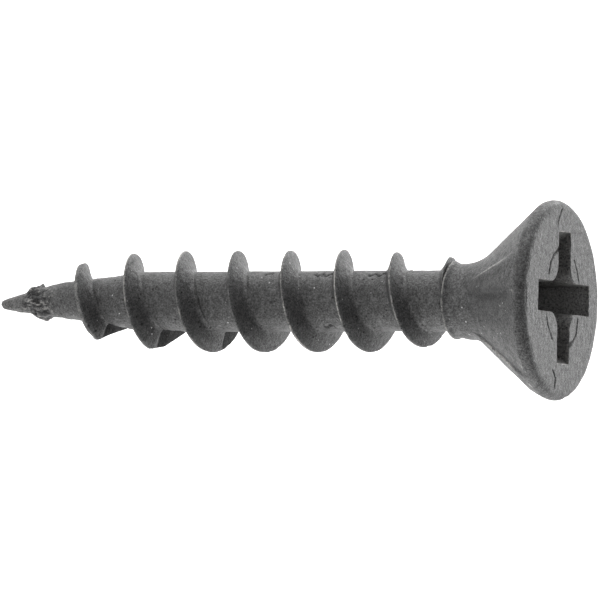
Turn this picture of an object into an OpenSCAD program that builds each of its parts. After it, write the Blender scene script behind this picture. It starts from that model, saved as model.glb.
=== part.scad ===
// Wood screw: flat countersunk head with a cross recess, smooth neck, coarse right-hand
// thread and a sharp cutting point. It is one solid piece, cold headed and thread rolled
// from a single length of wire.
// Frame: origin at the centre of the head's flat face, +Z out of the face along the axis,
// +X and +Y along the wings of the cross recess, point down at -Z.

/* [Overall] */
// Length from the flat face of the head to the tip of the point
screw_length = 19.05; // [17:0.05:32]

/* [Head] */
// Largest diameter, at the rim
head_d = 6.06; // [5.8:0.02:6.4]
// Included angle of the countersunk underside
seat_angle = 80; // [80:1:90]
// Height of the rounded rim above the countersunk underside
rim_h = 0.36; // [0.34:0.02:0.5]
// Radius of the rim's upper edge, where it turns into the flat face
rim_edge_r = 0.17; // [0.1:0.01:0.2]
// Radius of the rim's lower edge, where it turns into the underside
seat_edge_r = 0.3; // [0.1:0.05:0.4]
// Radius of the hollow between the neck and the underside
neck_fillet_r = 1.6; // [0.8:0.1:1.8]

/* [Underhead ribs] */
// Number of raised cutting ribs under the head
rib_count = 4; // [3:1:6]
// Angle that each rib covers round the axis
rib_angle = 22; // [14:1:30]
// Height that a rib stands proud of the underside
rib_h = 0.07; // [0.04:0.01:0.1]
// Direction of the first rib's centre line, from +X
rib_start = 74; // [0:1:90]

/* [Cross recess] */
// Distance across opposite wings at the face
recess_span = 3.94; // [3.9:0.02:4.2]
// Width of a wing at the face
wing_w = 0.93; // [0.85:0.01:1.1]
// Width of a wing at the bottom of the recess
wing_bottom_w = 0.68; // [0.6:0.01:0.8]
// Distance across the wings at the bottom of the recess
recess_bottom_d = 2.18; // [2:0.02:2.3]
// Slope of the wings' outer ends from the axis
wing_slope = 26.5; // [24:0.5:29]
// Slope of the blunt cone at the bottom, from the axis
bottom_slope = 70; // [60:1:75]
// Diameter of the round middle of the recess at the face
web_d = 1.85; // [1.6:0.05:2]
// Diameter of the round middle where the wings end
web_bottom_d = 1.2; // [0.9:0.05:1.4]

/* [Neck] */
// Diameter of the smooth neck between the head and the thread
neck_d = 2.28; // [2.15:0.01:2.4]
// Distance from the face to the neck's lower end
neck_end = 3.45; // [3.4:0.05:3.6]

/* [Thread] */
// Diameter over the crests
thread_d = 3.12; // [2.9:0.02:3.4]
// Diameter of the core between the ridges
core_d = 1.86; // [1.75:0.01:2.05]
// Distance that one turn moves along the axis
pitch = 1.786; // [1.7:0.002:1.9]
// Width of the ridge at its crest
crest_w = 0.16; // [0.1:0.01:0.25]
// Width of the ridge where it leaves the core
ridge_w = 0.62; // [0.5:0.01:0.75]
// Height of a ridge's centre below the face, straight over +X
ridge_below_face = 3.66; // [3.6:0.01:3.8]

/* [Point] */
// Radius of the tip
tip_r = 0.08; // [0.05:0.01:0.12]
// Length of the bare cone at the tip
bare_tip = 0.9; // [0.8:0.05:1.2]
// Core radius at the top of the bare cone
bare_tip_r = 0.32; // [0.28:0.01:0.4]
// Height above the tip at which the core reaches its full size
full_core_h = 5.0; // [4:0.1:6]
// Height above the tip at which the cutting ridge starts
ridge_start_h = 2.0; // [1.8:0.05:2.4]
// Distance along the axis over which the ridge grows to its full height
ridge_growth = 0.9; // [0.6:0.1:1.4]
// Height of the low starter ridge that runs ahead of the cutting ridge
starter_h = 0.16; // [0.05:0.01:0.2]

/* [Cutting flute] */
// Direction in which the flute starts in its first turn, from +X
flute_start = 186; // [180:1:195]
// Direction in which the flute ends, from +X
flute_end = 238; // [230:1:250]
// How much later the flute starts in each further turn
flute_step = 9; // [5:1:12]
// Number of turns that the flute crosses
flute_turns = 3; // [2:1:4]
// Part of each ridge's flank that the flute takes off, on the side towards the head
flute_bite = 0.75; // [0.3:0.05:0.85]
// Distance from the axis to the flat trimmed on the first crest beside the flute
trim_r = 1.02; // [0.98:0.01:1.2]
// How much further out the flat is in each further turn
trim_step = 0.37; // [0.3:0.01:0.45]

/* [Hidden] */

$fn = 96;
arc_steps = 6;

head_r = head_d / 2;
neck_r = neck_d / 2;
core_r = core_d / 2;
crest_r = thread_d / 2;

// The underside meets the rim at rim_h below the face, and the neck at seat_depth
seat_depth = rim_h + (head_r - neck_r) / tan(seat_angle / 2);

// Points along the arc of radius r that rounds corner b between its neighbours a and c
function unit(v) = v / norm(v);
function rounded(a, b, c, r) =
    let (u = unit(a - b), v = unit(c - b))
    let (half = acos(u * v) / 2, centre = b + unit(u + v) * r / sin(half))
    let (p = b + u * r / tan(half) - centre, q = b + v * r / tan(half) - centre)
    let (turn = (180 - 2 * half) * sign(p.x * q.y - p.y * q.x))
    [for (i = [0 : arc_steps])
        let (t = turn * i / arc_steps)
        centre + [p.x * cos(t) - p.y * sin(t), p.x * sin(t) + p.y * cos(t)]];

// Half section of the head and neck, as radius and height
neck_foot = [neck_r, -neck_end];
seat_foot = [neck_r, -seat_depth];
rim_foot = [head_r, -rim_h];
rim_top = [head_r, 0];
head_section = concat(
    [[0, 0], [0, -neck_end], neck_foot],
    rounded(neck_foot, seat_foot, rim_foot, neck_fillet_r),
    rounded(seat_foot, rim_foot, rim_top, seat_edge_r),
    rounded(rim_foot, rim_top, [0, 0], rim_edge_r)
);

// Section of a rib, which fades into the underside at both ends
rib_from = 0.16;
rib_to = 0.84;
rib_fade = 0.14;
rib_root = [-0.3, 0.3];
rib_rise = [cos(seat_angle / 2), -sin(seat_angle / 2)] * rib_h;
function seat_point(t) = seat_foot + (rim_foot - seat_foot) * t;
rib_section = [
    seat_point(rib_from) + rib_root,
    seat_point(rib_from),
    seat_point(rib_from + rib_fade) + rib_rise,
    seat_point(rib_to - rib_fade) + rib_rise,
    seat_point(rib_to),
    seat_point(rib_to) + rib_root
];

// Depth of the recess where its wings end, and at its centre
wing_depth = (recess_span - recess_bottom_d) / 2 / tan(wing_slope);
recess_depth = wing_depth + recess_bottom_d / 2 / tan(bottom_slope);
above_face = 0.2;

// Threaded shank. Heights are measured up from the tip. Its bare top is buried in the neck.
sectors = 60;
bury_gap = 0.01;
neck_overlap = 0.05;
buried_r = neck_r - bury_gap;
shank_top = screw_length - seat_depth;
thread_top = screw_length - neck_end - neck_overlap;
ridge_over_x = screw_length - ridge_below_face;
turns = ceil(ridge_over_x / pitch) + 1;
first_foot = ridge_over_x - (turns - 0.5) * pitch;

function smooth(t) = let (u = min(1, max(0, t))) u * u * (3 - 2 * u);
function mix(a, b, t) = a + (b - a) * min(1, max(0, t));

// Heights past either end of the thread are squeezed in, so that every turn stays whole
squeeze_low = 0.9;
squeeze_high = shank_top - thread_top;
function squeezed(h) =
    h < squeeze_low ? squeeze_low * exp(h / squeeze_low - 1)
    : h > thread_top ? shank_top - squeeze_high * exp((thread_top - h) / squeeze_high)
    : h;

// Radius of the core, which narrows to the tip and swells into the neck
swell = 0.7;
function shank_r(h) =
    h < bare_tip
        ? mix(tip_r, bare_tip_r, h / bare_tip)
        : mix(bare_tip_r, core_r, (h - bare_tip) / (full_core_h - bare_tip))
            + (buried_r - core_r) * smooth(1 + (h - thread_top) / swell);

// Height of the ridge over the core: a low starter, then the cutting ridge, which gets
// lower near the neck and ends there
starter_top = 1.7;
starter_fade = 0.2;
thinning_start = 6.2;
thinning_length = 2.7;
thinned_share = 0.66;
fade = 0.2;
function ridge_height(h) =
    let (rise = smooth((h - bare_tip) / starter_fade), fall = smooth((starter_top - h) / starter_fade))
    let (starter = starter_h * rise * fall)
    let (cutting = (crest_r - core_r) * smooth((h - ridge_start_h) / ridge_growth))
    let (share = mix(1, thinned_share, (h - screw_length + thinning_start) / thinning_length))
    max(starter, cutting) * share * smooth((thread_top - h) / fade);

// Heights above the tip where the flute's first turn lies and where the flute begins and ends
flute_start_h = 3.8;
flute_lead = 1;
flute_gap = 0.4;
flute_top_h = flute_start_h + (flute_turns - flute_gap) * pitch;

// How many turns past the flute's first one a height lies
function flute_turn(h) = max(0, (h - flute_start_h) / pitch);

// Part of the head-side flank that is taken off at a direction and height
function bite(a, h) =
    let (start = flute_start + flute_step * flute_turn(h))
    a > start && a < flute_end && h > flute_start_h - flute_lead && h < flute_top_h ? flute_bite : 0;

// Radius left by the flats trimmed on the crests, which face trim_dir and reach
// trim_reach to either side of it
trim_dir = 200;
trim_reach = 60;
function trimmed(r, a, h) =
    let (off = a - trim_dir)
    abs(off) > trim_reach ? r : min(r, (trim_r + trim_step * flute_turn(h)) / cos(off));

// One turn of the profile, as a distance along the axis and a part of the ridge's height
profile = [
    [0, 0],
    [(pitch - ridge_w) / 2, 0],
    [(pitch - crest_w) / 2, 1],
    [(pitch + crest_w) / 2, 1],
    [(pitch + ridge_w) / 2, 0]
];
steps = len(profile);
head_root = steps - 1;
last = turns * sectors;

// Station s counts sectors up the helix, and step p runs along the profile
function surface_point(s, p) =
    let (a = 360 * (s % sectors) / sectors)
    let (foot = first_foot + pitch * s / sectors)
    let (taken = p == head_root ? bite(a, foot + pitch / 2) * (ridge_w - crest_w) / 2 : 0)
    let (h = squeezed(foot + profile[p][0] - taken))
    let (r = trimmed(shank_r(h) + ridge_height(h) * profile[p][1], a, h))
    [r * cos(a), r * sin(a), h - screw_length];
function top_point(s) =
    let (a = 360 * s / sectors)
    [buried_r * cos(a), buried_r * sin(a), shank_top - screw_length];

shank_points = concat(
    [for (s = [0 : last]) for (p = [0 : steps - 1]) surface_point(s, p)],
    [for (s = [last + 1 : last + sectors]) surface_point(s, 0)],
    [for (s = [0 : sectors - 1]) top_point(s)],
    [[0, 0, -screw_length], [0, 0, shank_top - screw_length]]
);

// Where each point is in the list. The end of a profile is the start of the next turn's.
edge_start = (last + 1) * steps;
top_start = edge_start + sectors;
tip = top_start + sectors;
crown = tip + 1;
function at(s, p) =
    p == steps ? at(s + sectors, 0)
    : s > last ? edge_start + s - last - 1
    : s * steps + p;
function top(s) = top_start + s % sectors;

foot_end = at(sectors - 1, 0);
head_end = at(last + 1, 0);
side_faces = [
    for (s = [0 : last - 1]) for (p = [0 : steps - 1]) each [
        [at(s, p), at(s, p + 1), at(s + 1, p + 1)],
        [at(s, p), at(s + 1, p + 1), at(s + 1, p)]
    ]
];
tip_faces = concat(
    [for (s = [0 : sectors - 2]) [tip, at(s, 0), at(s + 1, 0)]],
    [for (p = [0 : steps - 1]) [foot_end, at(0, p + 1), at(0, p)]],
    [[foot_end, at(0, 0), tip]]
);
top_faces = concat(
    [for (p = [0 : steps - 1]) [head_end, at(last, p), at(last, p + 1)]],
    [[head_end, at(last, steps), top(0)], [head_end, top(0), top(1)]],
    [for (s = [1 : sectors - 1]) each [
        [at(last + s, 0), top(s), top(s + 1)],
        [at(last + s, 0), top(s + 1), at(last + s + 1, 0)]
    ]],
    [for (s = [0 : sectors - 1]) [crown, top(s + 1), top(s)]]
);

module head() {
    rotate_extrude() polygon(head_section);
    for (i = [0 : rib_count - 1])
        rotate(rib_start - rib_angle / 2 + i * 360 / rib_count)
            rotate_extrude(angle = rib_angle) polygon(rib_section);
}

// A slab standing across the axis: its outline is x and height, its thickness is along y
module slab(outline, thickness) {
    rotate([90, 0, 0])
        linear_extrude(thickness, center = true) polygon(outline);
}

// One pair of opposite wings, tapered from the face to the bottom of the recess
module wing_pair() {
    flare = above_face * tan(wing_slope);
    spread = (wing_w - wing_bottom_w) / 2 / recess_depth * above_face;
    span = recess_span / 2;
    bottom = recess_bottom_d / 2;
    intersection() {
        slab([
            [-span - flare, above_face],
            [-bottom, -wing_depth],
            [0, -recess_depth],
            [bottom, -wing_depth],
            [span + flare, above_face]
        ], 2 * wing_w);
        rotate(90)
            slab([
                [-wing_w / 2 - spread, above_face],
                [-wing_bottom_w / 2, -recess_depth],
                [wing_bottom_w / 2, -recess_depth],
                [wing_w / 2 + spread, above_face]
            ], 2 * recess_span);
    }
}

module recess() {
    wing_pair();
    rotate(90)
        wing_pair();
    translate([0, 0, -wing_depth])
        cylinder(h = wing_depth + above_face, d1 = web_bottom_d, d2 = web_d);
}

module shank() {
    polyhedron(shank_points, concat(side_faces, tip_faces, top_faces), convexity = 10);
}

module screw() {
    color("dimgray") {
        difference() {
            head();
            recess();
        }
        shank();
    }
}

screw();
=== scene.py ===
"""Wood screw with a black phosphate coat over a plain pale floor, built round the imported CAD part.

Lengths are millimetres in the row frame and become metres when a mesh is made. Angles round the
axis are degrees from +X towards +Y. Heights along the shank, called h, are measured up from the
tip. Masks and shares run from 0 to 1. noise() and rough() take points, lump size and seed.
"""

import math
from itertools import product

import bpy
import numpy as np
from mathutils import Matrix, Vector


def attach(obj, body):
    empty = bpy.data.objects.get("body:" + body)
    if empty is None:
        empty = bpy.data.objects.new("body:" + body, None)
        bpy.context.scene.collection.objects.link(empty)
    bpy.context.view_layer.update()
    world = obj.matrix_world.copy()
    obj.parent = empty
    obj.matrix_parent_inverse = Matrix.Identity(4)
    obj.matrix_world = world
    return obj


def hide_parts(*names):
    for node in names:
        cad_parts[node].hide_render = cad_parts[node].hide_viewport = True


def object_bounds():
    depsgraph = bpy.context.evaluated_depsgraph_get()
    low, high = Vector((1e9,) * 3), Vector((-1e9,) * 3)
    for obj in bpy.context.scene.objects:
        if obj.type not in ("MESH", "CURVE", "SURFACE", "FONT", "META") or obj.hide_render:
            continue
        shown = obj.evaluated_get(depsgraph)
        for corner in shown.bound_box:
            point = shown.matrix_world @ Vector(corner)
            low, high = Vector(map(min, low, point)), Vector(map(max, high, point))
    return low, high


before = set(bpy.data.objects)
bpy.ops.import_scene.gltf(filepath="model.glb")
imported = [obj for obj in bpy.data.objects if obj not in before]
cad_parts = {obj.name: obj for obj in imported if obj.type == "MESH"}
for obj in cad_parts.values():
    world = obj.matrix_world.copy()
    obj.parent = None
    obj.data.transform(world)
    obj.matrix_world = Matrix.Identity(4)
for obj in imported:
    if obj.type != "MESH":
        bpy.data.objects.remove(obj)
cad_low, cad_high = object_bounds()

MM = 0.001
LENGTH = -cad_low.z / MM
HEAD_R = cad_high.x / MM

# Thread. RIDGE_OVER_X is the height where the middle of the last ridge crosses +X. A place counts
# as core where its share of the ridge is under ON_CORE.
PITCH = 1.786
CREST_R = 1.565
CORE_R = 0.93
CREST_HALF = 0.035
FIRST_CREST_EXTRA = 0.05
ROOT_HALF = 0.33
RIDGE_OVER_X = LENGTH - 3.66
THREAD_END = LENGTH - 3.70
SHANK_TOP = LENGTH - 3.45
ON_CORE = 0.02

# Shank grid. Its rows are squeezed together below SQUEEZE_LOW and above THREAD_END. Faces that
# were more than HIDDEN_RUN past THREAD_END before that are left out: they are flat and hidden.
TURNS = 10
SECTORS = 140
SQUEEZE_LOW = 0.9
HIDDEN_RUN = 1.5
# Distances from the ridge's middle at which the grid has a row
PROFILE = np.concatenate([
    np.linspace(-PITCH / 2, -0.42, 10),
    np.linspace(-0.37, -ROOT_HALF, 2),
    np.linspace(-0.26, -0.08, 4),
    [-CREST_HALF, 0.0, CREST_HALF],
    np.linspace(0.08, 0.26, 4),
    np.linspace(ROOT_HALF, 0.4, 4),
    np.linspace(0.43, PITCH / 2, 10, endpoint=False),
])

# Tables by height: heights, then values
CORE_RADII = ([0.0, 0.015, 0.05, 0.1, 0.35, 0.87, 2.0, 2.6, 5.0],
              [0.0, 0.07, 0.115, 0.14, 0.21, 0.31, 0.53, 0.6, CORE_R])
CREST_RADII = ([1.95, 2.4, 2.9, 3.7, 4.6, 5.4, 12.6, 13.6, 14.5, 15.4, 15.62, 15.85, 16.3],
               [0.0, 0.95, 1.16, 1.35, 1.49, CREST_R, CREST_R, 1.49, 1.41, 1.33, 1.2, 1.15, 1.08])
POINT_BEND = ([0.0, 0.9, 2.3, 4.0], [-0.08, -0.03, 0.06, 0.0])
CREST_WEAR = ([3.5, 8.5], [0.45, 1.0])
FLUTE_START = ([3.8, 5.6, 7.4, 8.7], [157.0, 166.0, 188.0, 236.0])
NEAR_TRIM_FACES = ([3.8, 5.6, 7.4], [202.0, 191.5, 195.0])
NEAR_TRIM_AWAY = ([3.8, 5.6, 7.0], [0.935, 1.385, 1.75])
FAR_TRIM_AWAY = ([5.0, 5.6, 6.6], [1.3, 1.286, 1.65])

# Cutting flute, and the flats trimmed beside it
FLUTE_END = 240.0
FLUTE_LOW = 2.9
FLUTE_HIGH = 8.7
FLUTE_SLANT = 14.0
FLUTE_BITE = 0.17
FLUTE_SINK = 0.05
FAR_TRIM_FACES = 210.0
FLAT_REACH = 60.0

# Surface damage on the shank. Each crack: angle, lowest height, highest height, seed.
CRACKS = (
    (34.0, 11.0, 11.75, 41),
    (33.0, 12.8, 13.55, 43),
    (28.0, 9.3, 9.7, 45),
    (150.0, 11.3, 11.8, 47),
    (215.0, 8.2, 9.1, 49),
    (290.0, 12.9, 13.5, 51),
)
CRACK_ZIGS_PER_MM = 3.4
CRACK_SWING = 4.5
CRACK_HALF = 5.6
CRACK_DEPTH = 0.05
FOLD_HALF = 0.045
FOLD_DEPTH = 0.04
COLLAR_MIDDLE = 1.36
COLLAR_TILT = 0.15

# Head
NECK_R = 1.14
SEAT_HALF_ANGLE = 40.0
RIM_H = 0.36
RIM_EDGE_R = 0.27
SEAT_EDGE_R = 0.2
HOLLOW_R = 1.6
FACE_RINGS = 60
# Each rib: first angle, last angle, softness of its last edge
RIBS = ((64.0, 85.5, 2.5), (143.0, 179.0, 4.0), (240.0, 262.0, 4.0), (328.0, 352.0, 4.0))
RIB_H = 0.07
NECK_BUMP_ANGLE = 183.0
CHIP_ANGLE = 196.0
# Middle of a patch of painted shade over the first rib
SHADE_ANGLE = 71.0
# Forging grooves in the face: line of points, half width
FORGING = (
    ([(1.55, 0.3), (1.35, 0.7), (1.1, 0.97), (0.75, 1.08)], 0.055),
    ([(1.25, -0.87), (0.95, -1.1), (0.6, -1.28)], 0.042),
    ([(-0.3, 1.28), (-0.75, 1.15), (-1.2, 0.75)], 0.042),
    ([(-0.5, -1.22), (-1.0, -1.1), (-1.2, -0.85), (-1.4, -0.5)], 0.055),
    ([(2.9, 0.05), (2.6, 0.25), (2.3, 0.45)], 0.045),
    ([(-2.1, 0.66), (-2.35, 0.45), (-2.65, 0.52)], 0.045),
)
FORGING_DEPTH = 0.035

# Recess
SPAN = 3.94
WING_W = 0.93
BOTTOM_SPAN = 2.18
BOTTOM_WING_W = 0.68
WING_SLOPE = 26.5
BOTTOM_SLOPE = 70.0
WING_LIP = 0.08
CORNER_R = 0.5
BOTTOM_CORNER_R = 0.22
RECESS_MIDDLE = np.array([0.08, -0.11])
# Painted light: the share by which the recess's walls and floor are lightened towards bare steel
RECESS_PAINTED_LIGHT = 0.17
END_STEPS = 13
WALL_STEPS = 11
BEND_STEPS = 42

# Coat colours, as grey levels
COAT_DEEP = 0.014
COAT_THIN = 0.024
CRYSTAL_PALE = 0.06
CRYSTAL_DARK = 0.006
SPECK_PALE = 0.5
PIT_DARK = 0.005
# Soot in folds and cracks, also used as painted shade
SOOT_AND_SHADE = 0.006
# Bare steel where worn, also used as painted light in the recess and as painted highlight on the
# ribs' first edges
BARE_STEEL_AND_LIGHT = (0.42, 0.41, 0.39, 1.0)

# Stage
FLOOR_HALF = 900.0
FLOOR_DROP = 60.0
FLOOR_GLOW = 0.56
WORLD_STRENGTH = 0.55
LIGHT_DISTANCE = 260.0
# Each light: name, direction it comes from, side length, watts
LIGHTS = (
    ("top_box", (1.0, -0.15, 0.15), 240.0, 0.65),
    ("bottom_box", (-1.0, -0.15, 0.15), 240.0, 0.62),
    ("back_box", (0.0, -1.0, 0.58), 190.0, 0.37),
    ("front_box", (0.0, 1.0, -0.45), 240.0, 0.26),
    ("crest_box", (0.55, -0.9, 0.1), 100.0, 0.19),
    ("lens_box", (-0.55, -0.9, 0.1), 100.0, 0.05),
)
VIEW_TURN = 3.18
VIEW_HEIGHT = 25.0
VIEW_ROLL = 0.2
VIEW_DISTANCE = 182.8
VIEW_SENSOR = 36.0
VIEW_LENS = 357.9
VIEW_AIM = -8.705
VIEW_SIDE = 0.039


# ---------------------------------------------------------------- shaping helpers


def smooth(t):
    """Eases from 0 to 1 as t goes from 0 to 1."""
    t = np.clip(t, 0.0, 1.0)
    return t * t * (3.0 - 2.0 * t)


def hump(x, centre, half):
    """1 at centre, easing to 0 at half away from it."""
    return smooth(1.0 - np.abs(x - centre) / half)


def around(angle, centre):
    """Signed angle from centre, from -180 to 180."""
    return (angle - centre + 180.0) % 360.0 - 180.0


def corner_value(cell, seed):
    """A repeatable value from 0 to 1 for each cell of a lattice."""
    n = cell[..., 0] * 374761393 + cell[..., 1] * 668265263 + cell[..., 2] * 974711 + seed * 144665
    n = (n ^ (n >> 13)) * 1274126177 & 0xFFFFFFFF
    return ((n ^ (n >> 16)) & 0xFFFF) / 65535.0


def noise(points, size, seed):
    """Smooth noise from -1 to 1 whose lumps are about size across."""
    q = points / size
    cell = np.floor(q).astype(np.int64)
    f = smooth(q - cell)
    total = np.zeros(q.shape[:-1])
    for corner in product((0, 1), repeat=3):
        weight = np.prod(np.where(np.array(corner) == 1, f, 1.0 - f), axis=-1)
        total += weight * corner_value(cell + np.array(corner), seed)
    return 2.0 * total - 1.0


def rough(points, size, seed):
    """Three layers of noise, each half the size and strength of the one before."""
    return (noise(points, size, seed) + noise(points, size / 2, seed + 1) / 2
            + noise(points, size / 4, seed + 2) / 4)


# ---------------------------------------------------------------- shank: point, thread and core


def squeezed(h):
    """Heights past either end of the thread are squeezed in, so every turn of the grid is whole."""
    low = SQUEEZE_LOW * np.exp(np.minimum(h, SQUEEZE_LOW) / SQUEEZE_LOW - 1.0)
    room = SHANK_TOP - THREAD_END
    high = SHANK_TOP - room * np.exp(-np.maximum(h - THREAD_END, 0.0) / room)
    return np.where(h < SQUEEZE_LOW, low, np.where(h > THREAD_END, high, h))


def core_radius(h):
    """Core radius by height: blunt tip, bare cone, gentler taper, with the corners rounded."""
    spread = np.minimum(0.12, h * 0.3)
    return sum(np.interp(h + spread * k, *CORE_RADII) for k in (-1.0, -0.5, 0.0, 0.5, 1.0)) / 5.0


def ridge_share(d, cut, crest_half):
    """Part of the ridge's height at a distance d from its centre: thin crest, hollow flanks.

    Where cut is 1 the flank on the head side is steeper.
    """
    root = ROOT_HALF - FLUTE_BITE * cut * (d > 0)
    t = np.clip((root - np.abs(d)) / (root - crest_half), 0.0, 1.0)
    return 0.72 * t + 0.28 * t * t


def flute(angle, h, along):
    """How far a place is inside the cutting flute.

    Its first edge slants across the ridge's flank and lies further round in each turn.
    """
    slant = FLUTE_SLANT * (0.5 - np.clip(along / ROOT_HALF, 0.0, 1.0))
    start = np.interp(h, *FLUTE_START) + slant
    inside = smooth(around(angle, start) / 2.5) * smooth(around(FLUTE_END, angle) / 4.0)
    return inside * (h < FLUTE_HIGH) * (h > FLUTE_LOW)


def flat(angle, faces, away):
    """Radius at which a flat plane cuts: it faces an angle, at a distance away from the axis."""
    return away / np.cos(np.radians(np.clip(around(angle, faces), -FLAT_REACH, FLAT_REACH)))


def trim_limit(angle, h):
    """Largest radius left where the crests of the first turns are trimmed flat by the flute."""
    near = flat(angle, np.interp(h, *NEAR_TRIM_FACES), np.interp(h, *NEAR_TRIM_AWAY))
    far = flat(angle, FAR_TRIM_FACES, np.interp(h, *FAR_TRIM_AWAY))
    return np.minimum(near, far)


def crack_mask(at, h, angle):
    """Zigzag cracks along the core."""
    crack = np.zeros_like(h)
    for where, low, high, seed in CRACKS:
        zig = np.abs(((h * CRACK_ZIGS_PER_MM + seed) % 1.0) - 0.5) * 4.0 - 1.0
        off = around(angle, where + CRACK_SWING * zig + 2.5 * noise(at, 0.4, seed))
        line = hump(off, 0.0, CRACK_HALF) * smooth((h - low) / 0.1) * smooth((high - h) / 0.1)
        crack = np.maximum(crack, line)
    return crack


def shank_surface():
    """Vertices, faces and coat masks of the shank, on a grid that follows the helix."""
    steps = len(PROFILE)
    last = TURNS * SECTORS
    foot = RIDGE_OVER_X - (TURNS - 0.5) * PITCH
    station = np.arange(last + SECTORS + 1)[:, None]
    along = np.broadcast_to(PROFILE, (len(station), steps))
    raw = foot + PITCH / 2 + PITCH * station / SECTORS + along
    h = squeezed(raw)
    angle = np.broadcast_to((360.0 * station / SECTORS) % 360.0, h.shape)
    turn = np.radians(angle)
    around_axis = np.stack([np.cos(turn), np.sin(turn)], -1)
    at = np.concatenate([around_axis * CORE_R, (h - LENGTH)[..., None]], -1)

    core = core_radius(h)
    ridge = np.maximum(np.interp(raw, *CREST_RADII) - core, 0.0)
    nick = smooth((rough(at, 0.16, 11) - 0.35) * 1.6)
    ridge = ridge * (1.0 + 0.012 * noise(at, 1.1, 3)) - 0.018 * nick * (ridge > 0.3)
    cut = flute(angle, h, along)
    crest_half = CREST_HALF + FIRST_CREST_EXTRA * smooth((4.2 - h) / 0.8)
    share = ridge_share(along + 0.014 * noise(at, 0.7, 5), cut, crest_half)
    r = core + 0.006 * rough(at, 0.3, 21)

    # Two folds rolled into the core beside the ridge's root on the head side, and a bank between
    fold_place = 0.385 + 0.03 * noise(at, 0.9, 31)
    fold = hump(along, fold_place, FOLD_HALF) * smooth(noise(at, 1.3, 33) * 2.2 + 0.3)
    second = 0.8 * hump(along, fold_place + 0.13, FOLD_HALF)
    fold = np.maximum(fold, second * smooth(noise(at, 1.1, 35) * 3.0 - 0.2))
    fold = fold * smooth(noise(at, 0.42, 39) * 3.0 + 0.4 + 0.8 * smooth((7.0 - h) / 2.0))
    fold = fold * (0.35 + 0.65 * hump(around(angle, 150.0), 0.0, 110.0))
    r = r - FOLD_DEPTH * fold * smooth((h - 2.2) / 0.5)
    r = r + 0.02 * hump(along, fold_place + 0.06, 0.06) * smooth(noise(at, 0.8, 37) * 2.0)

    crack = crack_mask(at, h, angle)
    r = r - CRACK_DEPTH * crack * (share < ON_CORE)

    # Collar of rolled flash behind the bare point, with crumbs round it
    ring = COLLAR_MIDDLE - COLLAR_TILT * np.cos(turn) + 0.06 * noise(at, 0.35, 61)
    width = 0.23 + 0.06 * noise(at, 0.4, 63)
    collar = smooth(1.4 - np.abs(h - ring) / width) * (0.75 + 0.5 * noise(at, 0.3, 65))
    crumbs = rough(at, 0.12, 67) + 0.5 * noise(at, 0.05, 69)
    stands = 0.15 + 0.08 * np.clip(crumbs, -1.0, 0.6)
    r = r + collar * stands * (0.8 + 0.35 * np.cos(turn * 2))
    grit = smooth((h - 0.8) / 0.3) * smooth((2.3 - h) / 0.5)
    r = r + 0.012 * grit * crumbs

    r = np.minimum(r + ridge * share, trim_limit(angle, h)) - FLUTE_SINK * cut * (share < ON_CORE)
    bend = np.interp(h, *POINT_BEND)
    points = np.concatenate([around_axis * r[..., None], (h - LENGTH)[..., None]], -1)
    points[..., 0] += bend

    # Wear on the crest line and the collar; the point and the core are made a little lighter
    edge = smooth((share - 0.95) * 22.0) * smooth((ridge - 0.12) * 6.0)
    broken = smooth(0.3 + 0.7 * noise(at, 0.9, 71) + 0.6 * noise(at, 0.12, 73))
    wear_and_light = 0.8 * edge * broken * (along < 0.02)
    wear_and_light = wear_and_light * np.interp(h, *CREST_WEAR) + 0.1 * smooth((1.1 - h) / 0.3)
    wear_and_light = wear_and_light + 0.022 * (share < ON_CORE) * smooth((h - 2.0) / 0.5)
    wear_and_light = np.maximum(wear_and_light, 0.8 * np.maximum(collar, grit * 0.6) * smooth(crumbs * 2.0 - 0.45))

    # Dark: folds, cracks and collar crumbs, with painted shade on the ridge's flank on the head side
    # and, deeper, on that flank inside the flute
    dark = np.maximum(fold, crack * (share < ON_CORE))
    dark = np.maximum(dark, 0.9 * np.maximum(collar, grit * 0.8) * smooth(-crumbs * 2.0 - 0.05))
    flank = 0.12 * (along > 0.04) * smooth((0.31 - along) / 0.02)
    dark = np.maximum(dark, flank * smooth((h - 2.6) / 0.4) * (ridge > 0.2))
    dark = np.maximum(dark, 0.95 * cut * (along > 0) * smooth((0.42 - along) / 0.08))

    def index(s, p):
        return np.where(p == steps, (s + SECTORS) * steps, s * steps + p)

    s, p = np.meshgrid(np.arange(last), np.arange(steps), indexing="ij")
    quads = np.stack([index(s, p), index(s, p + 1), index(s + 1, p + 1), index(s + 1, p)], -1)
    quads = quads.reshape(-1, 4)
    quads = quads[raw.reshape(-1)[quads].min(axis=1) < THREAD_END + HIDDEN_RUN]
    tip = points.shape[0] * steps
    fan = [(tip, s * steps, (s + 1) * steps) for s in range(SECTORS - 1)]
    foot_end = (SECTORS - 1) * steps
    fan += [(foot_end, int(index(0, p + 1)), int(index(0, p))) for p in range(steps)]
    fan.append((foot_end, 0, tip))
    points = np.concatenate([points.reshape(-1, 3), [[bend[0, 0], 0.0, -LENGTH]]])
    wear_and_light = np.append(wear_and_light.reshape(-1), 0.3)
    dark = np.append(dark.reshape(-1), 0.0)
    return points, [quads[:, ::-1], np.array(fan)[:, ::-1]], wear_and_light, dark


# ------------------------------------------------------- head: neck, underside, rim, face, recess


def rounded(a, b, c, r, count):
    """Points along the arc of radius r that rounds corner b between its neighbours a and c."""
    a, b, c = (np.array(v, float) for v in (a, b, c))
    u = (a - b) / np.linalg.norm(a - b)
    v = (c - b) / np.linalg.norm(c - b)
    half = math.acos(float(u @ v)) / 2
    centre = b + (u + v) / np.linalg.norm(u + v) * r / math.sin(half)
    p = b + u * r / math.tan(half) - centre
    q = b + v * r / math.tan(half) - centre
    turn = (math.pi - 2 * half) * math.copysign(1.0, p[0] * q[1] - p[1] * q[0])
    t = turn * np.linspace(0.0, 1.0, count)
    return centre + np.stack([p[0] * np.cos(t) - p[1] * np.sin(t),
                              p[0] * np.sin(t) + p[1] * np.cos(t)], -1)


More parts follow.
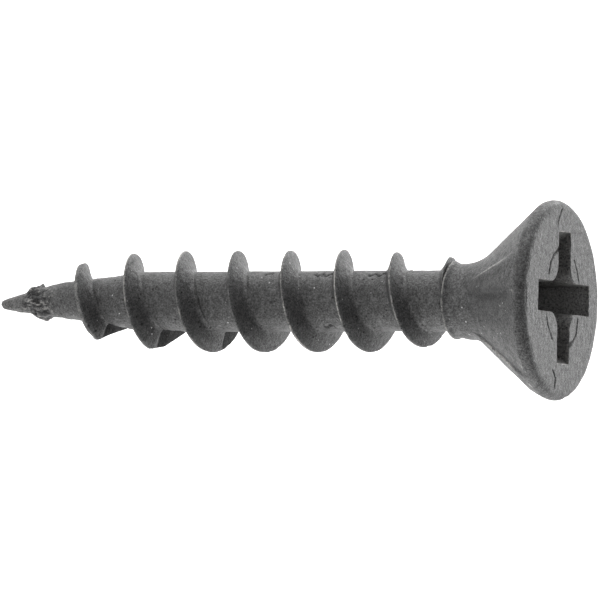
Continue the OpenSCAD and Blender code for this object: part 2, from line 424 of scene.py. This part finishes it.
def head_profile():
    """Half section from the neck's lower end to the face, as radius and height."""
    slope = math.tan(math.radians(SEAT_HALF_ANGLE))
    seat_foot = (NECK_R, -RIM_H - (HEAD_R - NECK_R) / slope)
    rim_foot = (HEAD_R, -RIM_H)
    hollow = rounded((NECK_R, -9.0), seat_foot, rim_foot, HOLLOW_R, 10)
    seat_edge = rounded(seat_foot, rim_foot, (HEAD_R, 0.0), SEAT_EDGE_R, 7)
    rim_edge = rounded(rim_foot, (HEAD_R, 0.0), (0.0, 0.0), RIM_EDGE_R, 7)
    low = SHANK_TOP - LENGTH
    neck = [(CORE_R - 0.06, low - 0.07), (NECK_R - 0.05, low - 0.06)]
    neck += [(NECK_R, low + up) for up in (-0.04, -0.015, 0.03, 0.08, 0.13, 0.2)]
    seat = np.linspace(hollow[-1], seat_edge[0], 14)[1:-1]
    return np.concatenate([neck, hollow, seat, seat_edge, rim_edge])


def recess_outline(span, width, corner):
    """The recess's outline at one depth: a cross with rounded inner corners, round from +X."""
    half, side = span / 2, width / 2
    reach = side + corner
    end = [(half, side * k / END_STEPS) for k in range(END_STEPS)]
    wall = [(half + (reach - half) * k / WALL_STEPS, side) for k in range(WALL_STEPS)]
    bend = [(reach + corner * math.cos(t), reach + corner * math.sin(t))
            for t in np.radians(270.0 - 90.0 * np.arange(BEND_STEPS) / BEND_STEPS)]
    next_wall = [(side, reach + (half - reach) * k / WALL_STEPS) for k in range(WALL_STEPS)]
    next_end = [(side * (1 - k / END_STEPS), half) for k in range(END_STEPS)]
    quarter = np.array(end + wall + bend + next_wall + next_end)
    x, y = quarter[:, 0], quarter[:, 1]
    return np.concatenate([quarter, np.stack([-y, x], -1), -quarter, np.stack([y, -x], -1)])


def groove(place, points, half_width):
    """How deep a place on the face lies in a narrow groove that follows a line of points."""
    away = np.full(place.shape[:-1], 9.0)
    for a, b in zip(points[:-1], points[1:]):
        a, b = np.array(a), np.array(b)
        t = np.clip(((place - a) @ (b - a)) / ((b - a) @ (b - a)), 0.0, 1.0)
        away = np.minimum(away, np.linalg.norm(place - a - t[..., None] * (b - a), axis=-1))
    return hump(away, 0.0, half_width)


def outside_rings(angle, around_axis):
    """Rings from the neck's lower end to the edge of the face, each with its wear and painted
    highlight, and its dark with painted shade.
    """
    profile = head_profile()
    slope = np.gradient(profile, axis=0)
    normal = np.stack([-slope[:, 1], slope[:, 0]], -1)
    normal = -normal / np.linalg.norm(normal, axis=1)[:, None]
    rings = []
    for (radius, z), (out_r, out_z) in zip(profile, normal):
        at = np.concatenate([around_axis * radius, np.full((len(angle), 1), z)], -1)
        q = (radius - NECK_R) / (HEAD_R - NECK_R)
        from_end = z - SHANK_TOP + LENGTH

        # Ribs, a lighter line along their first edge that is wear and painted highlight, and painted
        # shade behind their last edge
        rib, edge, shade = np.zeros(len(angle)), np.zeros(len(angle)), np.zeros(len(angle))
        wobble = 1.2 * noise(at, 0.8, 83)
        for start, end, soft in RIBS:
            off = around(angle, start) + wobble
            width = end - start
            rib = np.maximum(rib, smooth(off / 2.2 + 0.5) * smooth((width - off) / soft + 0.5))
            edge = np.maximum(edge, hump(off, 1.0, 1.6))
            shade = np.maximum(shade, hump(off, width + 4.0, 7.0))
        rib = rib * smooth((q - 0.03) / 0.15)
        edge = edge * smooth((q - 0.1) / 0.2) * smooth((0.82 - q) / 0.15)

        # How far the surface stands out: unevenness, ribs and a bump at the neck, less the chips
        lift = 0.008 * (rough(at, 0.5, 81) - 1.75)
        lift = lift + RIB_H * rib * smooth((0.985 - q) / 0.12) * (z < -RIM_H + 0.1)
        bump = 0.045 * hump(around(angle, NECK_BUMP_ANGLE), 0.0, 50.0)
        lift = lift + bump * hump(z, -3.0, 0.35) * (q < 0.2)
        rag = hump(around(angle, CHIP_ANGLE), 0.0, 9.0)
        rag = rag * smooth((q - 0.93) * 20.0) * smooth((z + 0.25) * 6.0)
        lift = lift - 0.07 * rag * smooth(noise(at, 0.16, 85) * 2.0 + 0.4)

        # Lip at the neck's lower end
        lip = 0.05 + 0.03 * smooth(1.0 - angle / 75.0) + 0.025 * noise(at, 0.3, 87)
        lip = lip * hump(from_end, -0.025, 0.12) * (from_end > -0.055)

        r = np.minimum(radius + lift * out_r + lip, HEAD_R)
        height = np.minimum(z + lift * out_z, 0.0)
        rim_edge = math.exp(-(((z + RIM_H + 0.04) / 0.09) ** 2)) * (q > 0.9)
        wear_and_light = (0.9 * edge + 0.8 * rim_edge * smooth(rough(at, 0.14, 89) * 2.0 - 0.9)
                + 0.8 * hump(from_end, -0.03, 0.03) * smooth(rough(at, 0.2, 97) + 0.8))
        # Painted shade behind each rib's last edge and in a patch over the first rib
        shade = np.maximum(0.4 * shade, 0.4 * hump(around(angle, SHADE_ANGLE), 0.0, 9.0))
        shade = shade * smooth((q - 0.1) / 0.15) * smooth((0.9 - q) / 0.1)
        # Painted shade in a band on the neck just above its lip
        dark = shade + 0.7 * hump(from_end, 0.09, 0.09) * smooth(rough(at, 0.4, 99) + 0.4)
        rings.append((np.concatenate([around_axis * r[:, None], height[:, None]], -1), wear_and_light, dark))
    return rings


def face_rings(around_axis, outer, rim):
    """Rings from inside the outer ring to the recess's rim, each with its wear and dark."""
    face_r = np.linalg.norm(outer[:, :2], axis=1)
    inner = np.linalg.norm(rim, axis=1)
    rings = []
    for k in range(1, FACE_RINGS + 1):
        t = k / FACE_RINGS
        r = face_r + (inner - face_r) * t
        place = around_axis * r[:, None]
        at = np.concatenate([place, np.zeros((len(place), 1))], -1)
        cut = np.zeros(len(place))
        for line, half_width in FORGING:
            cut = np.maximum(cut, groove(place, line, half_width))
        from_edge = (1.0 - t) * (face_r - inner)
        drop = FORGING_DEPTH * cut + 0.004 * (1.75 + rough(at, 0.35, 91))
        drop = drop + 0.02 * smooth(1.0 - from_edge / 0.03)
        wing_end = np.abs(place[:, 0] - RECESS_MIDDLE[0]) > SPAN / 2 - 0.06
        wear_and_light = (0.35 + 0.55 * wing_end) * smooth(1.0 - from_edge / 0.05)
        wear_and_light = wear_and_light * smooth(rough(at, 0.2, 93) * 1.5 + 0.2)
        rings.append((np.concatenate([place, -drop[:, None]], -1), wear_and_light, 0.9 * cut))
    return rings


def recess_rings():
    """Rings down the recess's walls and in over its floor, each with its wear mask carrying painted
    light, and its dark.
    """
    wing_depth = WING_LIP + (SPAN - BOTTOM_SPAN) / 2 / math.tan(math.radians(WING_SLOPE))
    shapes = []
    for depth in np.concatenate([[0.03, WING_LIP], np.linspace(0.16, wing_depth, 14)]):
        f = depth / wing_depth
        g = max(0.0, depth - WING_LIP) / (wing_depth - WING_LIP)
        span = SPAN + (BOTTOM_SPAN - SPAN) * g
        width = WING_W + (BOTTOM_WING_W - WING_W) * f
        corner = CORNER_R + (BOTTOM_CORNER_R - CORNER_R) * f
        shapes.append((depth, recess_outline(span, width, corner)))
    floor_shape = shapes[-1][1]
    for share in (0.75, 0.5, 0.25):
        fall = (1.0 - share) * BOTTOM_SPAN / 2 / math.tan(math.radians(BOTTOM_SLOPE))
        shapes.append((wing_depth + fall, floor_shape * share))
    count = len(floor_shape)
    return [(np.concatenate([RECESS_MIDDLE + shape, np.full((count, 1), -depth)], -1),
             np.full(count, RECESS_PAINTED_LIGHT), np.zeros(count)) for depth, shape in shapes]


def head_surface():
    """Vertices, faces and coat masks of the head, on rings from the neck to the recess's centre."""
    rim = RECESS_MIDDLE + recess_outline(SPAN, WING_W, CORNER_R)
    turn = np.arctan2(rim[:, 1], rim[:, 0])
    angle = np.degrees(turn) % 360.0
    around_axis = np.stack([np.cos(turn), np.sin(turn)], -1)
    rings = outside_rings(angle, around_axis)
    rings += face_rings(around_axis, rings[-1][0], rim)
    rings += recess_rings()
    places, wear_and_light_rings, dark_rings = zip(*rings)

    count = len(turn)
    middle = np.array([[*RECESS_MIDDLE, places[-1][0, 2] - 0.1]])
    points = np.concatenate([*places, middle])
    i, j = np.meshgrid(np.arange(len(rings) - 1), np.arange(count), indexing="ij")
    k = (j + 1) % count
    quads = np.stack([i * count + j, i * count + k, (i + 1) * count + k, (i + 1) * count + j], -1)
    base = (len(rings) - 1) * count
    centre = len(points) - 1
    fan = np.array([(base + n, base + (n + 1) % count, centre) for n in range(count)])
    wear_and_light = np.append(np.concatenate(wear_and_light_rings), 0.0)
    dark = np.append(np.concatenate(dark_rings), 0.0)
    return points, [quads.reshape(-1, 4), fan], wear_and_light, dark


# ---------------------------------------------------------------- mesh


def make_screw(material):
    """Puts shank and head into one mesh, with the coat masks as attributes."""
    points, faces, wear_and_light, dark = [], [], [], []
    offset = 0
    for verts, groups, wear_and_light_part, dark_part in (shank_surface(), head_surface()):
        points.append(verts)
        wear_and_light.append(wear_and_light_part)
        dark.append(dark_part)
        faces += [tuple(f) for group in groups for f in (group + offset).tolist()]
        offset += len(verts)
    points, wear_and_light, dark = np.concatenate(points), np.concatenate(wear_and_light), np.concatenate(dark)
    used = np.zeros(len(points), bool)
    for f in faces:
        used[list(f)] = True
    renumber = np.cumsum(used) - 1
    corners = [[int(renumber[v]) for v in f] for f in faces]
    mesh = bpy.data.meshes.new("wood_screw")
    mesh.from_pydata((points[used] * MM).tolist(), [], corners)
    # The wear mask also carries painted light in the recess and a painted highlight on the ribs'
    # first edges
    for name, values in (("wear_and_light", wear_and_light[used]), ("dark", dark[used])):
        layer = mesh.attributes.new(name, "FLOAT", "POINT")
        layer.data.foreach_set("value", np.clip(values, 0.0, 1.0).astype(np.float32))
    mesh.materials.append(material)
    mesh.shade_smooth()
    screw = bpy.data.objects.new("wood_screw", mesh)
    bpy.context.scene.collection.objects.link(screw)
    return screw


# ---------------------------------------------------------------- materials


class Nodes:
    """Builds a material's node tree in metres of object space."""

    def __init__(self, name):
        self.material = bpy.data.materials.new(name)
        self.material.use_nodes = True
        self.tree = self.material.node_tree
        self.tree.nodes.clear()
        self.place = self.new("ShaderNodeTexCoord").outputs["Object"]

    def new(self, kind, **settings):
        node = self.tree.nodes.new(kind)
        for key, value in settings.items():
            setattr(node, key, value)
        return node

    def feed(self, node, name, value):
        """Links an output into a socket, or sets a constant on it."""
        socket = node.inputs[name]
        if isinstance(value, bpy.types.NodeSocket):
            self.tree.links.new(value, socket)
        else:
            socket.default_value = value

    def noise(self, size_mm, detail=2.0, roughness=0.5):
        """Noise whose lumps are about size_mm across."""
        node = self.new("ShaderNodeTexNoise")
        self.feed(node, "Vector", self.place)
        self.feed(node, "Scale", 1.0 / (size_mm * MM))
        self.feed(node, "Detail", detail)
        self.feed(node, "Roughness", roughness)
        return node.outputs["Fac"]

    def cells(self, size_mm):
        """Scattered points about size_mm apart: distance to the nearest, and its own colour."""
        node = self.new("ShaderNodeTexVoronoi")
        self.feed(node, "Vector", self.place)
        self.feed(node, "Scale", 1.0 / (size_mm * MM))
        return node.outputs["Distance"], node.outputs["Color"]

    def span(self, value, low, high, to_low=0.0, to_high=1.0):
        """Maps low..high onto to_low..to_high, clamped."""
        node = self.new("ShaderNodeMapRange")
        for name, v in (("Value", value), ("From Min", low), ("From Max", high),
                        ("To Min", to_low), ("To Max", to_high)):
            self.feed(node, name, v)
        return node.outputs["Result"]

    def math(self, operation, a, b):
        node = self.new("ShaderNodeMath", operation=operation)
        self.feed(node, 0, a)
        self.feed(node, 1, b)
        return node.outputs[0]

    def times(self, a, b):
        return self.math("MULTIPLY", a, b)

    def mask(self, name):
        return self.new("ShaderNodeAttribute", attribute_name=name).outputs["Fac"]

    def mix(self, share, a, b):
        """Blends two colours."""
        node = self.new("ShaderNodeMix", data_type="RGBA")
        for socket, value in ((0, share), (6, a), (7, b)):
            self.feed(node, socket, value)
        return node.outputs[2]

    def bump(self, height, depth_mm, before=None):
        node = self.new("ShaderNodeBump")
        self.feed(node, "Height", height)
        self.feed(node, "Distance", depth_mm * MM)
        self.feed(node, "Strength", 1.0)
        if before is not None:
            self.feed(node, "Normal", before)
        return node.outputs["Normal"]

    def finish(self, **inputs):
        """Ends in a Principled surface. The inputs are named like its sockets, in lower case."""
        surface = self.new("ShaderNodeBsdfPrincipled")
        for name, value in inputs.items():
            self.feed(surface, name.replace("_", " ").title().replace("Ior", "IOR"), value)
        out = self.new("ShaderNodeOutputMaterial")
        self.tree.links.new(surface.outputs[0], out.inputs[0])
        return self.material


def grey(level):
    return (level, level, level, 1.0)


def phosphate():
    """Matte black phosphate.

    Fine crystals, uneven depth of colour, worn edges, sooty folds, small pits and pale specks, with
    painted shade on the thread's flanks, in the flute, round the ribs and above the neck's lip, and
    painted light in the recess and along the ribs' first edges.
    """
    n = Nodes("black_phosphate")
    wear_and_light, dark = n.mask("wear_and_light"), n.mask("dark")
    height = n.new("ShaderNodeSeparateXYZ")
    n.feed(height, 0, n.place)
    face = n.span(height.outputs[2], -0.1 * MM, -0.06 * MM)
    off_head = n.span(height.outputs[2], -3.6 * MM, -3.4 * MM, 1.0, 0.2)
    fine = n.noise(0.05, 3.0, 0.75)
    patches = n.noise(0.45, 3.0, 0.55)
    lumps = n.noise(0.2, 3.0, 0.6)

    colour = n.mix(n.span(patches, 0.3, 0.7), grey(COAT_DEEP), grey(COAT_THIN))
    colour = n.mix(n.times(n.span(fine, 0.5, 0.7), 0.75), colour, grey(CRYSTAL_PALE))
    colour = n.mix(n.times(n.span(fine, 0.48, 0.32), 0.8), colour, grey(CRYSTAL_DARK))

    # Pale specks on half of the cells, strong in clusters, and faint elsewhere and on the face
    distance, cell_colour = n.cells(0.2)
    random = n.new("ShaderNodeSeparateColor")
    n.feed(random, 0, cell_colour)
    chosen = n.span(random.outputs[0], 0.5, 0.52)
    speck = n.times(n.span(distance, 0.14, 0.08), chosen)
    speck = n.times(speck, n.span(face, 0.0, 1.0, 1.0, 0.3))
    speck = n.times(speck, n.span(n.noise(1.3), 0.44, 0.54, 0.15, 1.0))
    colour = n.mix(n.times(speck, 0.85), colour, grey(SPECK_PALE))

    # Pits at the same scattered points where the coat is thin, and faint on the head
    pit = n.times(n.span(distance, 0.24, 0.1), n.span(patches, 0.42, 0.56))
    pit = n.times(pit, off_head)
    colour = n.mix(n.times(pit, 0.8), colour, grey(PIT_DARK))

    # Bare steel where worn, also painted light in the recess and painted highlight along the ribs'
    # first edges; then soot, and painted shade on flanks, in the flute, round the ribs and above the
    # neck's lip
    worn_and_lit = n.times(wear_and_light, n.span(n.noise(0.06, 2.0), 0.35, 0.55))
    colour = n.mix(worn_and_lit, colour, BARE_STEEL_AND_LIGHT)
    colour = n.mix(n.times(dark, 0.85), colour, grey(SOOT_AND_SHADE))

    # Gloss is lost in dark places and pits, and is uneven everywhere, with blotches on the face
    gloss = n.span(n.math("MAXIMUM", dark, pit), 0.0, 1.0, 0.5, 0.04)
    gloss = n.times(gloss, n.span(fine, 0.34, 0.66, 0.6, 1.75))
    gloss = n.times(gloss, n.span(lumps, 0.35, 0.65, 0.78, 1.28))
    blotch = n.span(n.noise(0.33, 4.0, 0.7), 0.38, 0.62, 0.84, 1.16)
    face_blotch = n.times(n.math("ADD", blotch, -1.0), face)
    gloss = n.times(gloss, n.math("ADD", face_blotch, 1.0))

    return n.finish(
        base_color=colour,
        roughness=n.span(n.noise(0.12, 2.0), 0.3, 0.7, 0.42, 0.6),
        metallic=n.times(worn_and_lit, 0.6),
        normal=n.bump(lumps, 0.026, n.bump(fine, 0.016)),
        specular_ior_level=gloss,
    )


def floor_material():
    """Plain pale matte board with a faint mottle."""
    n = Nodes("pale_board")
    return n.finish(
        base_color=n.mix(n.span(n.noise(9.0), 0.3, 0.7), grey(0.78), grey(0.82)),
        roughness=0.9,
        metallic=0.0,
        normal=n.bump(n.noise(0.8), 0.01),
        emission_color=grey(1.0),
        emission_strength=FLOOR_GLOW,
    )


# ---------------------------------------------------------------- stage


def add_floor():
    """A wide level board some way below the point."""
    z = -LENGTH - FLOOR_DROP
    mesh = bpy.data.meshes.new("floor")
    corners = [(x * FLOOR_HALF * MM, y * FLOOR_HALF * MM, z * MM)
               for x, y in ((-1, -1), (1, -1), (1, 1), (-1, 1))]
    mesh.from_pydata(corners, [], [(0, 1, 2, 3)])
    mesh.materials.append(floor_material())
    floor = bpy.data.objects.new("floor", mesh)
    bpy.context.scene.collection.objects.link(floor)


def add_softbox(name, direction, size, power):
    """A square area light that faces the middle of the screw from a direction."""
    data = bpy.data.lights.new(name, "AREA")
    data.shape = "SQUARE"
    data.size = size * MM
    data.energy = power
    light = bpy.data.objects.new(name, data)
    middle = Vector((0.0, 0.0, -LENGTH / 2)) * MM
    away = Vector(direction).normalized()
    light.location = middle + away * LIGHT_DISTANCE * MM
    light.rotation_mode = "QUATERNION"
    light.rotation_quaternion = away.to_track_quat("Z", "Y")
    bpy.context.scene.collection.objects.link(light)


def add_world():
    """An even white surround."""
    world = bpy.data.worlds.new("studio")
    world.use_nodes = True
    background = world.node_tree.nodes["Background"]
    background.inputs["Color"].default_value = (1.0, 1.0, 1.0, 1.0)
    background.inputs["Strength"].default_value = WORLD_STRENGTH
    bpy.context.scene.world = world


def add_camera():
    """A long lens that sees the screw from its side and its head's end, with the point at left."""
    turn, height, roll = (math.radians(v) for v in (VIEW_TURN, VIEW_HEIGHT, VIEW_ROLL))
    side = Vector((math.cos(turn), math.sin(turn), 0.0))
    front = Vector((-math.sin(turn), math.cos(turn), 0.0))
    axis = Vector((0.0, 0.0, 1.0))
    back = front * math.cos(height) + axis * math.sin(height)
    level = axis * math.cos(height) - front * math.sin(height)
    right = level * math.cos(roll) - side * math.sin(roll)
    up = level * math.sin(roll) + side * math.cos(roll)
    data = bpy.data.cameras.new("camera")
    data.sensor_width = VIEW_SENSOR
    data.lens = VIEW_LENS
    data.clip_start, data.clip_end = 0.01, 10.0
    camera = bpy.data.objects.new("camera", data)
    place = Matrix((right, up, back)).transposed().to_4x4()
    aim = Vector((0.0, 0.0, VIEW_AIM)) + side * VIEW_SIDE
    place.translation = (aim + back * VIEW_DISTANCE) * MM
    camera.matrix_world = place
    bpy.context.scene.collection.objects.link(camera)
    bpy.context.scene.camera = camera


screw = make_screw(phosphate())
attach(screw, "root")
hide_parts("screw")

add_floor()
add_world()
for settings in LIGHTS:
    add_softbox(*settings)
add_camera()
bpy.context.scene.view_settings.view_transform = "Standard"
